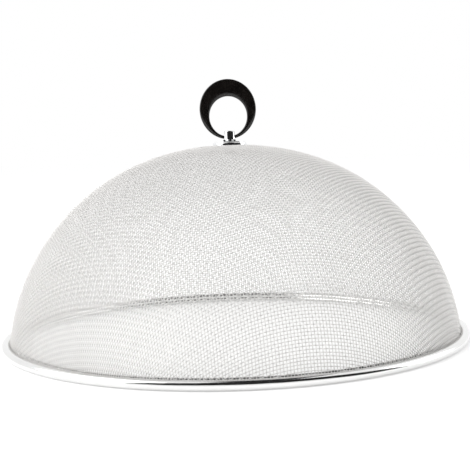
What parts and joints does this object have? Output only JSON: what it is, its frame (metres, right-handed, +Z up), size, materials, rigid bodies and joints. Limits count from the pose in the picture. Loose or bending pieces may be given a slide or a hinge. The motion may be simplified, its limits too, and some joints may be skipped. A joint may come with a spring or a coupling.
{
  "type": "mesh food cover",
  "caption": "Domed woven-wire food cover with a rolled steel rim, a short bright neck and a glossy black ring knob.",
  "frame": {"origin": "centre of the rim, on the plane that the cover stands on", "axes": "+Z up along the dome's axis, front of the picture towards -Y, the knob's ring lies in the XZ plane"},
  "size_m": [0.3, 0.3, 0.1663],
  "materials": {
    "woven_steel": "bright drawn wire, woven",
    "polished_steel": "polished",
    "plain_steel": "plain",
    "chrome": "bright",
    "black_gloss": "high gloss black"
  },
  "bodies": {
    "root": {"wire_cloth_dome": "woven_steel", "rim_bead": "polished_steel", "rim_core_wire": "plain_steel", "knob_base_plate": "chrome", "knob_neck": "chrome", "knob_ring": "black_gloss", "backing_plate": "plain_steel", "lock_washer": "plain_steel", "knob_screw": "plain_steel"}
  },
  "joints": []
}
